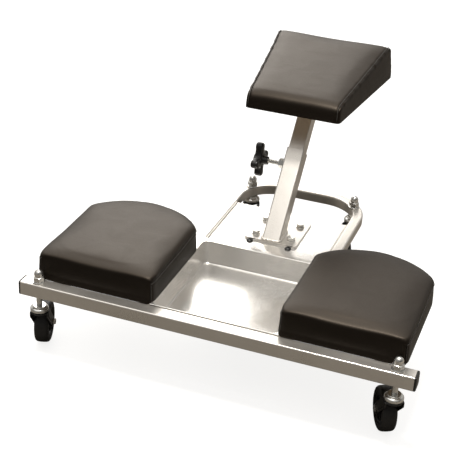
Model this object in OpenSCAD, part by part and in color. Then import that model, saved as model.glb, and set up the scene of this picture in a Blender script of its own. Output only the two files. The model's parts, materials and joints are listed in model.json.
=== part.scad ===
// Kneeling creeper: a low wheeled frame with two knee cushions, a sunk tool tray
// and a padded rest on a leaning telescopic post.
// Origin: on the floor, under the middle of the overall footprint. +X is the user's right when
// kneeling behind the front tube, +Y points from the front tube to the rest, +Z is up.

/* [Frame] */
// Length of the square front cross tube
frame_w = 680; // [620:5:760]
// Outside size of the front cross tube
front_s = 25.4; // [24:0.2:30]
// Wall of the front cross tube
front_wall = 1.6; // [1.2:0.1:2.5]
// Height of the tube's top above the floor
deck_h = 139; // [134:1:150]
// Outside size of the bent rear tube and the hidden rails
loop_s = 20; // [18:0.5:22]
// Wall of the bent rear tube and the hidden rails
loop_wall = 1.6; // [1.2:0.1:2.2]
// Half distance between the two legs of the bent tube, centre to centre
loop_half = 122; // [118:1:126]
// Distance from the frame's front face to the centreline of the rear bend
loop_back = 560; // [530:5:580]
// Centreline radius of the two rear corners
loop_r = 77; // [60:1:80]
// Thickness of the tray and rear plate sheet
sheet = 1.5; // [1:0.1:2]

/* [Tool tray] */
// Inside half width of the tray
tray_half = 109.5; // [100:0.5:109.5]
// Distance from the frame's front face to the tray's inside rear wall
tray_back = 270; // [240:5:280]
// Depth of the tray below the tube's top
tray_depth = 43; // [25:1:50]
// Radius of the tray's upright corners
tray_r = 12; // [6:1:20]
// Distance from the frame's front face to the rear edge of the plate
plate_back = 452; // [445:1:460]

/* [Knee cushions] */
// Distance from the middle to a knee cushion's inner side
knee_in = 107; // [104:1:109]
// Distance from the middle to a knee cushion's outer side
knee_out = 323; // [312:1:330]
// Distance from the frame's front face to the cushion's bowed rear edge
knee_back = 288; // [275:1:295]
// Radius of the bowed rear edge
knee_bow_r = 130; // [118:1:160]
// Height of the cushion's crown above its underside
knee_t = 54; // [44:1:62]
// Radius of the crown, seen from the side
crown_r = 1300; // [900:50:1600]
// Thickness of the plywood boards under the cushions
board_t = 12; // [9:1:15]

/* [Post and rest] */
// Lean of the post from upright, in degrees
lean = 41.5; // [38:0.5:45]
// Distance from the frame's front face to the post's axis on the base plate
post_y = 346; // [342:1:352]
// Outside size of the lower sleeve
sleeve_s = 34; // [32:0.5:38]
// Wall of the lower sleeve
sleeve_wall = 1.9; // [1.5:0.1:2.5]
// Length of the sleeve along its axis, from the base plate
sleeve_len = 169; // [160:1:175]
// Wall of the sliding inner post
inner_wall = 2; // [1.5:0.1:3]
// Height of the rest's underside above the tube's top
rest_z = 221; // [205:1:235]
// Half width of the rest at its front
rest_front_half = 90; // [80:1:100]
// Half width of the rest at its rear
rest_back_half = 117; // [105:1:130]
// Length of the rest's underside
rest_len = 288; // [260:1:310]
// Thickness of the rest's front nose
rest_nose = 29; // [24:1:34]
// Thickness of the rest at its rear
rest_rear = 70; // [58:1:80]

/* [Casters] */
// Distance of the front caster stems from the middle
caster_x = 311; // [290:1:312]
// Height of the front casters' race rim, measured from the tube's top
race_front = -54; // [-60:0.5:-48]
// Height of the rear casters' race rim, measured from the tube's top
race_rear = -29.5; // [-54:0.5:-29.5]
// Turn of the front left wheel away from trailing straight back, in degrees
turn_fl = 17.5; // [-90:0.5:90]
// Turn of the front right wheel away from trailing straight back, in degrees
turn_fr = 26; // [-90:0.5:90]
// Turn of the rear left wheel away from trailing straight back, in degrees
turn_rl = 24; // [-90:0.5:90]
// Turn of the rear right wheel away from trailing straight back, in degrees
turn_rr = 65; // [-90:0.5:90]
// Wheel diameter
wheel_d = 75; // [70:0.5:76]
// Wheel width
wheel_w = 25; // [20:0.5:25.5]
// Trail: distance from stem axis to wheel axle
trail = 38; // [34:0.5:40]
// Radius of the threaded stem
stem_r = 5; // [5:0.1:6]

/* [Hidden] */
$fn = 64;
wheel_r = wheel_d / 2;
axle_z = wheel_r - deck_h;
front_c = front_s / 2;
race_r = 16;
seat_top = 1.5;
cap_t = 4.5;
rear_nut_a = 35;
rear_nut_r = loop_r - 3.5;
rear_nut_x = loop_half - loop_r + rear_nut_r * cos(rear_nut_a);
rear_nut_y = loop_back - loop_r + rear_nut_r * sin(rear_nut_a);
plate_top = -4;
base_t = 4;
base_z = plate_top + base_t;
bolt_x = 34;
base_y0 = 320;
base_y1 = 423;
bolt_ys = [341, 400];
plate_screw_x = 37;
plate_screw_y = base_y0 - 6.7;
rail_ys = [301, 430];
inner_s = sleeve_s - 2 * sleeve_wall - 0.2;
clamp_s = 139;
knob_x = sleeve_s / 2 + 33;
screw_len = 49.8;
plate_z = rest_z - 4;
rest_mid_y = post_y + (plate_z - base_z) * tan(lean);
rest_y0 = rest_mid_y - rest_len / 2 + 2;
rest_y1 = rest_y0 + rest_len;
knee_mid = (knee_in + knee_out) / 2;
y_front = front_c - race_r;
y_mid = (y_front + rest_y1) / 2;
knee_y0 = front_s + 1.8;

steel = [0.78, 0.77, 0.74];
zinc = [0.86, 0.86, 0.85];
black = [0.05, 0.05, 0.05];
vinyl = [0.13, 0.11, 0.09];
ply = [0.70, 0.55, 0.36];

// Moves a sub-part from the tube-top frame to the floor frame
module at() {
    translate([0, -y_mid, deck_h])
        children();
}

// Places a sub-part on the right, or mirrored on the left
module side(s) {
    if (s > 0) {
        children();
    } else {
        mirror([1, 0, 0])
            children();
    }
}

// Hexagon of a given width across flats
module hex(af, h) {
    linear_extrude(h)
        circle(r = af / 2 / cos(30), $fn = 6);
}

// ---------- frame ----------

module front_tube() {
    color(steel)
        at()
        difference() {
            translate([-frame_w / 2, 0, -front_s])
                cube([frame_w, front_s, front_s]);
            translate([-frame_w / 2 - 1, front_wall, -front_s + front_wall])
                cube([frame_w + 2, front_s - 2 * front_wall, front_s - 2 * front_wall]);
            for (s = [-1, 1])
                translate([s * caster_x, front_c, -front_s - 1])
                    cylinder(r = stem_r + 0.2, h = front_s + 2);
        }
}

module end_cap(s) {
    in_s = front_s - 2 * front_wall - 0.2;
    color(black)
        at()
        side(s)
        union() {
            translate([frame_w / 2, 0, -front_s])
                cube([cap_t, front_s, front_s]);
            difference() {
                translate([frame_w / 2 - 12, front_wall + 0.1, -front_s + front_wall + 0.1])
                    cube([12, in_s, in_s]);
                translate([frame_w / 2 - 13, front_wall + 3, -front_s + front_wall + 3])
                    cube([11, in_s - 5.8, in_s - 5.8]);
            }
        }
}

// Flat U of the bent tube, as a band between two half widths
module loop_band(w) {
    for (s = [-1, 1]) {
        translate([s * loop_half - w / 2, front_s])
            square([w, loop_back - loop_r - front_s]);
        translate([s * (loop_half - loop_r), loop_back - loop_r])
            intersection() {
                difference() {
                    circle(r = loop_r + w / 2);
                    circle(r = loop_r - w / 2);
                }
                translate([s > 0 ? 0 : -2 * loop_r, 0])
                    square([2 * loop_r, 2 * loop_r]);
            }
    }
    translate([-(loop_half - loop_r), loop_back - w / 2])
        square([2 * (loop_half - loop_r), w]);
}

module rear_loop() {
    color(steel)
        at()
        difference() {
            translate([0, 0, -loop_s])
                linear_extrude(loop_s)
                    loop_band(loop_s);
            translate([0, 0, -loop_s + loop_wall])
                linear_extrude(loop_s - 2 * loop_wall)
                    loop_band(loop_s - 2 * loop_wall);
            for (s = [-1, 1]) {
                translate([s * rear_nut_x, rear_nut_y, -loop_s - 1])
                    cylinder(r = stem_r + 0.2, h = loop_s + 2);
                for (y = [80, 200])
                    translate([s * loop_half, y, -loop_s - 1])
                        cylinder(r = 3.1, h = loop_s + 2);
            }
        }
}

module cross_rails() {
    half = loop_half - loop_s / 2;
    color(steel)
        at() {
            translate([-half, tray_back + sheet + 0.2, -loop_s])
                cube([2 * half, 9.5, loop_s]);
            for (y = rail_ys)
                difference() {
                    translate([-half, y, plate_top - sheet - loop_s])
                        cube([2 * half, loop_s, loop_s]);
                    translate([-half - 1, y + loop_wall, plate_top - sheet - loop_s + loop_wall])
                        cube([2 * half + 2, loop_s - 2 * loop_wall, loop_s - 2 * loop_wall]);
                    for (x = [-plate_screw_x, plate_screw_x])
                        translate([x, plate_screw_y, plate_top - sheet - 4])
                            cylinder(r = 3.1, h = 5);
                }
        }
}

module knee_rail(s) {
    x0 = loop_half + loop_s / 2;
    x1 = knee_out - 53;
    y1 = 238;
    i = loop_s - 2 * loop_wall;
    color(steel)
        at()
        side(s)
        difference() {
            translate([0, 0, seat_top - loop_s])
                union() {
                    translate([x1, front_s, 0])
                        cube([loop_s, y1 - front_s, loop_s]);
                    translate([x0, y1 - loop_s, 0])
                        cube([x1 - x0 + 1, loop_s, loop_s]);
                }
            translate([x1 + loop_wall, front_s - 1, seat_top - loop_s + loop_wall])
                cube([i, y1 - front_s - loop_wall + 1, i]);
            translate([x0 - 1, y1 - loop_s + loop_wall, seat_top - loop_s + loop_wall])
                cube([x1 - x0 + loop_s - loop_wall, i, i]);
            for (y = [80, 200])
                translate([x1 + loop_s / 2, y, seat_top - loop_s - 1])
                    cylinder(r = 3.1, h = loop_s + 2);
        }
}

// Rounded rectangle between two corners
module round_rect(x0, y0, x1, y1, r) {
    translate([x0 + r, y0])
        square([x1 - x0 - 2 * r, y1 - y0]);
    translate([x0, y0 + r])
        square([x1 - x0, y1 - y0 - 2 * r]);
    for (x = [x0 + r, x1 - r])
        for (y = [y0 + r, y1 - r])
            translate([x, y])
                circle(r = r);
}

module tool_tray() {
    y0 = front_s + 0.4;
    color(steel)
        at()
        difference() {
            union() {
                translate([0, 0, -tray_depth - sheet])
                    linear_extrude(tray_depth + 2 * sheet)
                        round_rect(-tray_half - sheet, y0, tray_half + sheet, tray_back + sheet,
                                   tray_r + sheet);
                translate([-loop_half - loop_s / 2 + 1, y0, 0])
                    cube([2 * loop_half + loop_s - 2, tray_back + 11 - y0, sheet]);
            }
            translate([0, 0, -tray_depth])
                linear_extrude(tray_depth + 3 * sheet)
                    round_rect(-tray_half, y0 + sheet, tray_half, tray_back, tray_r);
            for (s = [-1, 1])
                for (y = [80, 200])
                    translate([s * loop_half, y, -1])
                        cylinder(r = 3.1, h = 4);
        }
}

// Holes for the four bolts of the post's base
module bolt_holes(z0) {
    for (x = [-bolt_x, bolt_x])
        for (y = bolt_ys)
            translate([x, y, z0])
                cylinder(r = 4.2, h = 12);
}

module rear_plate() {
    half = loop_half - loop_s / 2;
    color(steel)
        at()
        difference() {
            translate([-half, tray_back + 11.4, plate_top - sheet])
                cube([2 * half, plate_back - tray_back - 11.4, sheet]);
            bolt_holes(-10);
            for (x = [-plate_screw_x, plate_screw_x])
                translate([x, plate_screw_y, -10])
                    cylinder(r = 3.1, h = 12);
        }
}

// Two dark button-head screws just in front of the post's base
module plate_screws() {
    color(black)
        at()
        for (x = [-plate_screw_x, plate_screw_x])
            translate([x, plate_screw_y, plate_top]) {
                cylinder(r = 6.3, h = 2);
                translate([0, 0, 2])
                    cylinder(r1 = 6.3, r2 = 4, h = 2);
                translate([0, 0, -10])
                    cylinder(r = 2.9, h = 11);
            }
}

// ---------- knee cushions ----------

// Plan of a knee cushion, drawn in by a margin
module knee_plan(m) {
    intersection() {
        translate([knee_in + m, knee_y0 + m])
            square([knee_out - knee_in - 2 * m, knee_back - knee_y0]);
        translate([knee_mid, knee_back - knee_bow_r])
            circle(r = knee_bow_r - m, $fn = 180);
    }
    translate([knee_in + m, knee_y0 + m])
        square([knee_out - knee_in - 2 * m, knee_back - knee_bow_r - knee_y0 - m]);
}

module knee_holes(r, z1) {
    for (x = [loop_half, knee_out - 43])
        for (y = [80, 200])
            translate([x, y, -3])
                cylinder(r = r, h = z1 + 3);
}

module knee_board(s) {
    color(ply)
        at()
        side(s)
        difference() {
            translate([0, 0, seat_top])
                linear_extrude(board_t)
                    knee_plan(2.2);
            knee_holes(3, seat_top + board_t - 2);
        }
}

module knee_cushion(s) {
    color(vinyl)
        at()
        side(s)
        difference() {
            intersection() {
                translate([0, 0, seat_top])
                    linear_extrude(knee_t + 10)
                        knee_plan(0);
                translate([knee_mid, knee_back - knee_bow_r, seat_top + knee_t - crown_r])
                    sphere(r = crown_r, $fn = 180);
            }
            translate([0, 0, seat_top - 1])
                linear_extrude(board_t + 1.1)
                    knee_plan(2);
        }
}

module knee_screws() {
    color(zinc)
        at()
        for (s = [-1, 1])
            side(s)
                for (x = [loop_half, knee_out - 43])
                    for (y = [80, 200]) {
                        z0 = x == loop_half ? -loop_s : seat_top - loop_s;
                        translate([x, y, z0 - 4])
                            hex(10, 4);
                        translate([x, y, z0 - 1])
                            cylinder(r = 2.9, h = seat_top + board_t - 3 - z0 + 1);
                    }
}

// ---------- post and rest ----------

// Leaning frame of the post: local Z runs up the post from the base plate
module lean_frame() {
    translate([0, post_y, base_z])
        rotate([-lean, 0, 0])
            children();
}

module post_base() {
    color(steel)
        at()
        difference() {
            translate([0, 0, plate_top])
                linear_extrude(base_t)
                    round_rect(-50, base_y0, 50, base_y1, 5);
            bolt_holes(-6);
        }
}

module post_base_bolts() {
    color(zinc)
        at()
        for (x = [-bolt_x, bolt_x])
            for (y = bolt_ys)
                translate([x, y, base_z]) {
                    cylinder(r = 8, h = 1.5);
                    translate([0, 0, 1.5])
                        hex(13, 5.5);
                    translate([0, 0, -17])
                        cylinder(r = 4, h = 19);
                    translate([0, 0, -12.5])
                        hex(13, 7);
                }
}

module post_sleeve() {
    w = sleeve_s - 2 * sleeve_wall;
    color(steel)
        at()
        intersection() {
            lean_frame()
                difference() {
                    translate([-sleeve_s / 2, -sleeve_s / 2, -40])
                        cube([sleeve_s, sleeve_s, sleeve_len + 40]);
                    translate([-w / 2, -w / 2, -41])
                        cube([w, w, sleeve_len + 42]);
                    translate([-sleeve_s, 0, clamp_s])
                        rotate([0, 90, 0])
                            cylinder(r = 4.08, h = sleeve_s);
                }
            translate([-100, 0, base_z])
                cube([200, 700, 400]);
        }
}

module clamp_nut() {
    color(zinc)
        at()
        lean_frame()
        translate([-sleeve_s / 2, 0, clamp_s])
        rotate([0, -90, 0])
        difference() {
            hex(17, 11);
            translate([0, 0, -1])
                cylinder(r = 4.08, h = 13);
        }
}

module clamp_shoe() {
    color(zinc)
        at()
        lean_frame()
        translate([-inner_s / 2 - 0.1, 0, clamp_s])
        rotate([0, -90, 0])
        cylinder(r = 3.9, h = 3);
}

module clamp_screw() {
    color(zinc)
        at()
        lean_frame()
        translate([-inner_s / 2 - 3.15, 0, clamp_s])
        rotate([0, -90, 0])
        cylinder(r = 4, h = screw_len);
}

// Four-lobed hand knob, lobes upright and level
module clamp_knob() {
    color(black)
        at()
        lean_frame()
        translate([-knob_x, 0, clamp_s])
        rotate([lean, 0, 0])
        rotate([0, -90, 0])
        difference() {
            union() {
                cylinder(r = 8, h = 10);
                translate([0, 0, 10])
                    linear_extrude(15) {
                        circle(r = 14);
                        for (a = [0, 90, 180, 270])
                            rotate(a) {
                                translate([26, 0])
                                    circle(r = 8);
                                translate([0, -6.5])
                                    square([26, 13]);
                            }
                    }
                cylinder(r = 9, h = 28);
            }
            translate([0, 0, -1])
                cylinder(r = 4.05, h = 19);
        }
}

module inner_post() {
    w = inner_s - 2 * inner_wall;
    color(steel)
        at()
        intersection() {
            lean_frame()
                difference() {
                    translate([-inner_s / 2, -inner_s / 2, 85])
                        cube([inner_s, inner_s, 300]);
                    translate([-w / 2, -w / 2, 84])
                        cube([w, w, 302]);
                }
            translate([-100, 0, 0])
                cube([200, 900, plate_z]);
        }
}

module rest_plate() {
    color(steel)
        at()
        difference() {
            translate([0, 0, plate_z])
                linear_extrude(4)
                    round_rect(-55, rest_mid_y - 55, 55, rest_mid_y + 55, 6);
            rest_holes(3.1, plate_z - 1, 6);
        }
}

module rest_holes(r, z0, h) {
    for (x = [-42, 42])
        for (y = [-42, 42])
            translate([x, rest_mid_y + y, z0])
                cylinder(r = r, h = h);
}

// Plan of the rest, drawn in by a margin
module rest_plan(m) {
    polygon([[-rest_front_half + m, rest_y0 + m], [rest_front_half - m, rest_y0 + m],
             [rest_back_half - m, rest_y1 - m], [-rest_back_half + m, rest_y1 - m]]);
}

module rest_board() {
    color(ply)
        at()
        difference() {
            translate([0, 0, rest_z])
                linear_extrude(board_t)
                    rest_plan(8);
            rest_holes(3, rest_z - 1, board_t - 1);
        }
}

module rest_cushion() {
    color(vinyl)
        at()
        difference() {
            intersection() {
                translate([0, 0, rest_z])
                    linear_extrude(rest_rear + 10)
                        rest_plan(0);
                rotate([90, 0, 90])
                    translate([0, 0, -rest_back_half - 1])
                        linear_extrude(2 * rest_back_half + 2)
                            polygon([[rest_y0, rest_z], [rest_y1, rest_z],
                                     [rest_y1 - 16, rest_z + rest_rear - 8],
                                     [rest_y1 - 28, rest_z + rest_rear],
                                     [rest_y0 + 6, rest_z + rest_nose + 2],
                                     [rest_y0, rest_z + rest_nose - 4]]);
            }
            translate([0, 0, rest_z - 1])
                linear_extrude(board_t + 1.1)
                    rest_plan(7.8);
        }
}

module rest_screws() {
    color(zinc)
        at()
        for (x = [-42, 42])
            for (y = [-42, 42])
                translate([x, rest_mid_y + y, plate_z - 4]) {
                    hex(10, 4);
                    cylinder(r = 2.9, h = 4 + 4 + board_t - 3);
                }
}

// ---------- casters ----------

// Stem positions: front pair under the cross tube, rear pair in the corners of the bend
function caster_at(id) =
    id == "fl" ? [-caster_x, front_c] :
    id == "fr" ? [caster_x, front_c] :
    id == "rl" ? [-rear_nut_x, rear_nut_y] :
                 [rear_nut_x, rear_nut_y];

function caster_turn(id) =
    id == "fl" ? turn_fl :
    id == "fr" ? turn_fr :
    id == "rl" ? turn_rl :
                 turn_rr;

function race_z(id) = id == "fl" || id == "fr" ? race_front : race_rear;

module caster_frame(id) {
    at()
        translate([caster_at(id)[0], caster_at(id)[1], 0])
            rotate([0, 0, caster_turn(id)])
                children();
}

// Threaded stem with the fixed upper race and the king pin below it
module stem(id) {
    rim = race_z(id);
    color(zinc)
        caster_frame(id)
        union() {
            translate([0, 0, rim + 7])
                cylinder(r = stem_r, h = 8 - rim);
            translate([0, 0, rim + 6])
                cylinder(r = 12, h = 3.4);
            difference() {
                translate([0, 0, rim])
                    cylinder(r = race_r, h = 7);
                translate([0, 0, rim - 1])
                    cylinder(r = 14.6, h = 3);
            }
            translate([0, 0, rim - 7.4])
                cylinder(r = 4.6, h = 12);
            translate([0, 0, rim - 7.8])
                cylinder(r = 7.5, h = 2.2);
        }
}

// Domed cap nut and washer
module cap_nut(id) {
    color(zinc)
        at()
        translate([caster_at(id)[0], caster_at(id)[1], 0])
        difference() {
            union() {
                cylinder(r = 11, h = 2.4);
                translate([0, 0, 2.4])
                    hex(17, 9);
                translate([0, 0, 11.4])
                    cylinder(r = 7.6, h = 5);
                translate([0, 0, 16.4])
                    intersection() {
                        sphere(r = 7.6);
                        translate([-10, -10, 0])
                            cube([20, 20, 10]);
                    }
            }
            translate([0, 0, -1])
                cylinder(r = stem_r + 0.05, h = 17);
        }
}

module fork(id) {
    rim = race_z(id);
    leg_top = rim - 2.1;
    color(black)
        caster_frame(id)
        difference() {
            union() {
                translate([0, 0, rim - 5.4])
                    cylinder(r = 15.8, h = 3.9);
                for (s = [-1, 1])
                    translate([s > 0 ? wheel_w / 2 + 1 : -wheel_w / 2 - 3, 0, 0])
                        rotate([90, 0, 90])
                            linear_extrude(2) {
                                polygon([[-9, leg_top], [9, leg_top], [trail + 9, axle_z + 3],
                                         [trail + 8, axle_z - 5], [trail - 8, axle_z - 5],
                                         [-9, leg_top - 8.5]]);
                                translate([trail, axle_z])
                                    circle(r = 9.5);
                            }
            }
            translate([0, 0, rim - 12])
                cylinder(r = 4.68, h = 12);
            translate([-30, trail, axle_z])
                rotate([0, 90, 0])
                    cylinder(r = 3.05, h = 60);
        }
}

module balls(id) {
    color(zinc)
        caster_frame(id)
        for (a = [0:45:315])
            rotate([0, 0, a])
                translate([11, 0, race_z(id) + 0.25])
                    sphere(r = 1.7, $fn = 32);
}

module axle(id) {
    w = wheel_w / 2 + 3.05;
    color(zinc)
        caster_frame(id)
        translate([0, trail, axle_z])
        rotate([0, 90, 0])
        union() {
            translate([0, 0, -w - 3.5])
                hex(10, 3.5);
            translate([0, 0, w])
                hex(10, 4.5);
            translate([0, 0, -w - 1])
                cylinder(r = 3, h = 2 * w + 2);
        }
}

module tyre(id) {
    color(black)
        caster_frame(id)
        translate([0, trail, axle_z])
        rotate([0, 90, 0])
        rotate_extrude($fn = 96)
        difference() {
            translate([25, -wheel_w / 2])
                square([wheel_r - 25, wheel_w]);
            for (s = [-1, 1])
                translate([wheel_r, s * wheel_w / 2])
                    rotate(45)
                        square([5, 5], center = true);
        }
}

module hub(id) {
    color([0.09, 0.09, 0.09])
        caster_frame(id)
        translate([0, trail, axle_z])
        rotate([0, 90, 0])
        difference() {
            union() {
                translate([0, 0, -wheel_w / 2 + 2])
                    cylinder(r = 24.95, h = wheel_w - 4);
                translate([0, 0, -wheel_w / 2 - 0.8])
                    cylinder(r = 7, h = wheel_w + 1.6);
            }
            translate([0, 0, -wheel_w])
                cylinder(r = 3.08, h = 2 * wheel_w);
        }
}

front_tube();
end_cap(-1);  // end_cap_left
end_cap(1);  // end_cap_right
rear_loop();
cross_rails();
knee_rail(-1);  // knee_rail_left
knee_rail(1);  // knee_rail_right
tool_tray();
rear_plate();
plate_screws();
knee_board(-1);  // knee_board_left
knee_board(1);  // knee_board_right
knee_cushion(-1);  // knee_cushion_left
knee_cushion(1);  // knee_cushion_right
knee_screws();
post_base();
post_base_bolts();
post_sleeve();
clamp_nut();
clamp_shoe();
clamp_screw();
clamp_knob();
inner_post();
rest_plate();
rest_board();
rest_cushion();
rest_screws();
stem("fl");  // stem_fl
cap_nut("fl");  // nut_fl
fork("fl");  // fork_fl
balls("fl");  // balls_fl
axle("fl");  // axle_fl
tyre("fl");  // tyre_fl
hub("fl");  // hub_fl
stem("fr");  // stem_fr
cap_nut("fr");  // nut_fr
fork("fr");  // fork_fr
balls("fr");  // balls_fr
axle("fr");  // axle_fr
tyre("fr");  // tyre_fr
hub("fr");  // hub_fr
stem("rl");  // stem_rl
cap_nut("rl");  // nut_rl
fork("rl");  // fork_rl
balls("rl");  // balls_rl
axle("rl");  // axle_rl
tyre("rl");  // tyre_rl
hub("rl");  // hub_rl
stem("rr");  // stem_rr
cap_nut("rr");  // nut_rr
fork("rr");  // fork_rr
balls("rr");  // balls_rr
axle("rr");  // axle_rr
tyre("rr");  // tyre_rr
hub("rr");  // hub_rr
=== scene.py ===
import json
import math

import bmesh
import bpy
import numpy as np
from mathutils import Matrix, Vector, kdtree
from mathutils.bvhtree import BVHTree


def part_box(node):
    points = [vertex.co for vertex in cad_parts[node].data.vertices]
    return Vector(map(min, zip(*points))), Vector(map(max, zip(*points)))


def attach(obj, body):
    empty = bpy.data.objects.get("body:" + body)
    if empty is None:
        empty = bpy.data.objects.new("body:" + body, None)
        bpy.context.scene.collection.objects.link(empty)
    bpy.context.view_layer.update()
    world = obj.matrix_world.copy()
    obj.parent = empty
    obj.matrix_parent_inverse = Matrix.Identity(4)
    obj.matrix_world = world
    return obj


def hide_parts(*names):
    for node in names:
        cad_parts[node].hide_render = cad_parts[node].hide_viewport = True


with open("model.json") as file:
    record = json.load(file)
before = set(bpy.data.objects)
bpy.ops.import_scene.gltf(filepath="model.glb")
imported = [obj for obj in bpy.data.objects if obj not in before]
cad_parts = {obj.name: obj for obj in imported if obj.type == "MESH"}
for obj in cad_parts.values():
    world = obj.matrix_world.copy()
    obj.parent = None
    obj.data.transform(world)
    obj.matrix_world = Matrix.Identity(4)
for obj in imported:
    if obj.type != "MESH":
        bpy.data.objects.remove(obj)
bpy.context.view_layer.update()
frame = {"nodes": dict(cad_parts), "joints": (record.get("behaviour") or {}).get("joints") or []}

MM = 0.001
JOINTS = {joint["name"]: joint for joint in frame["joints"]}
CORNERS = ("fl", "fr", "rl", "rr")

# ---------------------------------------------------------------- measures taken from the frame

tube_lo, tube_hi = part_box("front_tube")
TOP = tube_hi.z
TUBE = tube_hi.z - tube_lo.z
loop_lo, loop_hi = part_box("rear_loop")
LOOP = loop_hi.z - loop_lo.z
LOOP_X = loop_hi.x - LOOP / 2
LOOP_Y = loop_hi.y - LOOP / 2
LOOP_BEND = 77 * MM
tray_lo, tray_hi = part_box("tool_tray")
SHEET = tray_hi.z - TOP
UP_POST = Vector(JOINTS["post_height"]["axis"]).normalized()
CLAMP = Vector(JOINTS["clamp_turn"]["pos_m"])
CLAMP.x = 0
BASE_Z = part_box("post_base")[1].z
PLATE_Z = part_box("rest_plate")[0].z
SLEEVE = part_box("post_sleeve")[1].x * 2
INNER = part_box("inner_post")[1].x * 2


# ---------------------------------------------------------------- mesh helpers

class Shape:
    """Collects closed shells, each built as a loft through rings of points."""

    def __init__(self):
        self.verts = []
        self.faces = []

    def rings(self, rings, place=None, closed=False):
        """Skins rings of equal length; open ends get a flat cap, closed joins last to first."""
        start = len(self.verts)
        count = len(rings[0])
        for ring in rings:
            for point in ring:
                point = Vector(point)
                self.verts.append(place @ point if place else point)
        spans = len(rings) if closed else len(rings) - 1
        for i in range(spans):
            a = start + i * count
            b = start + (i + 1) % len(rings) * count
            for j in range(count):
                k = (j + 1) % count
                self.faces.append((a + j, a + k, b + k, b + j))
        if not closed:
            last = start + (len(rings) - 1) * count
            self.faces.append(tuple(range(start + count - 1, start - 1, -1)))
            self.faces.append(tuple(range(last, last + count)))
        return self

    def build(self, name, body, slot, nodes=(), angle=38):
        """Makes the object, in the row frame, riding on a body and standing for CAD nodes."""
        mesh = bpy.data.meshes.new(name)
        mesh.from_pydata([tuple(v) for v in self.verts], [], self.faces)
        bm = bmesh.new()
        bm.from_mesh(mesh)
        bmesh.ops.recalc_face_normals(bm, faces=bm.faces)
        bm.to_mesh(mesh)
        bm.free()
        return place_piece(name, mesh, body, slot, nodes, angle)


def place_piece(name, mesh, body, slot, nodes=(), angle=38):
    obj = bpy.data.objects.new(name, mesh)
    bpy.context.scene.collection.objects.link(obj)
    mesh.materials.append(MATERIALS[slot])
    mesh.shade_smooth()
    mesh.set_sharp_from_angle(angle=math.radians(angle))
    flat = obj.modifiers.new("normals", "WEIGHTED_NORMAL")
    flat.keep_sharp = True
    flat.weight = 100
    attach(obj, body)
    if nodes:
        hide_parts(*nodes)
    return obj


def circle(radius, z=0.0, count=48):
    return [Vector((radius * math.cos(a), radius * math.sin(a), z))
            for a in np.linspace(0, 2 * math.pi, count, endpoint=False)]


def rounded_rect(x0, y0, x1, y1, radius, z=0.0, steps=6):
    """Points of a rounded rectangle, anticlockwise, the same number whatever the radius."""
    points = []
    centres = ((x1 - radius, y1 - radius, 0), (x0 + radius, y1 - radius, 90),
               (x0 + radius, y0 + radius, 180), (x1 - radius, y0 + radius, 270))
    for cx, cy, start in centres:
        for i in range(steps + 1):
            a = math.radians(start + 90 * i / steps)
            points.append(Vector((cx + radius * math.cos(a), cy + radius * math.sin(a), z)))
    return points


def square_section(size, radius, steps=5):
    half = size / 2
    return rounded_rect(-half, -half, half, half, radius, 0, steps)


def inset(outline, distance):
    """Moves each point of a flat anticlockwise outline inwards along its own normal."""
    moved = []
    count = len(outline)
    for i, point in enumerate(outline):
        along = outline[(i + 1) % count] - outline[i - 1]
        normal = Vector((-along.y, along.x, 0)).normalized()
        moved.append(point + normal * distance)
    return moved


def slab(shape, outline, z0, z1, edge, place=None, steps=3):
    """A plate of the outline between two heights, with its edges rounded."""
    rings = []
    for i in range(steps + 1):
        a = math.radians(90 * i / steps)
        ring = inset(outline, edge * (1 - math.sin(a)))
        rings.append([p + Vector((0, 0, z0 + edge * (1 - math.cos(a)))) for p in ring])
    for i in range(steps, -1, -1):
        a = math.radians(90 * i / steps)
        ring = inset(outline, edge * (1 - math.sin(a)))
        rings.append([p + Vector((0, 0, z1 - edge * (1 - math.cos(a)))) for p in ring])
    return shape.rings(rings, place)


def lathe(shape, profile, place=None, count=48, closed=False):
    """Turns (radius, height) points round local Z."""
    return shape.rings([circle(max(r, 0.05 * MM), z, count) for r, z in profile], place, closed)


def soften(profile, radius, steps=4):
    """Rounds the inner corners of an open (radius, height) profile."""
    points = [Vector(p) for p in profile]
    out = [points[0]]
    for before, here, after in zip(points, points[1:], points[2:]):
        reach = min(radius, (before - here).length / 2, (after - here).length / 2)
        a = here + (before - here).normalized() * reach
        b = here + (after - here).normalized() * reach
        for i in range(steps + 1):
            t = i / steps
            out.append(a * (1 - t) ** 2 + here * 2 * t * (1 - t) + b * t ** 2)
    out.append(points[-1])
    return [tuple(p) for p in out]


def hexagon(shape, flats, z0, z1, place=None, count=48, bottom=False):
    """Hex nut or bolt head whose corners are turned off by a 30 degree chamfer."""
    def corner_radius(a):
        return flats / 2 / math.cos((a % (math.pi / 3)) - math.pi / 6)
    angles = np.linspace(0, 2 * math.pi, count, endpoint=False)
    flat_r = flats / 2 * 0.95
    drop = [(corner_radius(a) - flat_r) * math.tan(math.radians(30)) for a in angles]
    full = [Vector((corner_radius(a) * math.cos(a), corner_radius(a) * math.sin(a), 0)) for a in angles]
    low = [p + Vector((0, 0, z0 + (d if bottom else 0))) for p, d in zip(full, drop)]
    high = [p + Vector((0, 0, z1 - d)) for p, d in zip(full, drop)]
    rings = [low, high, circle(flat_r, z1, count)]
    if bottom:
        rings.insert(0, circle(flat_r, z0, count))
    return shape.rings(rings, place)


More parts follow.
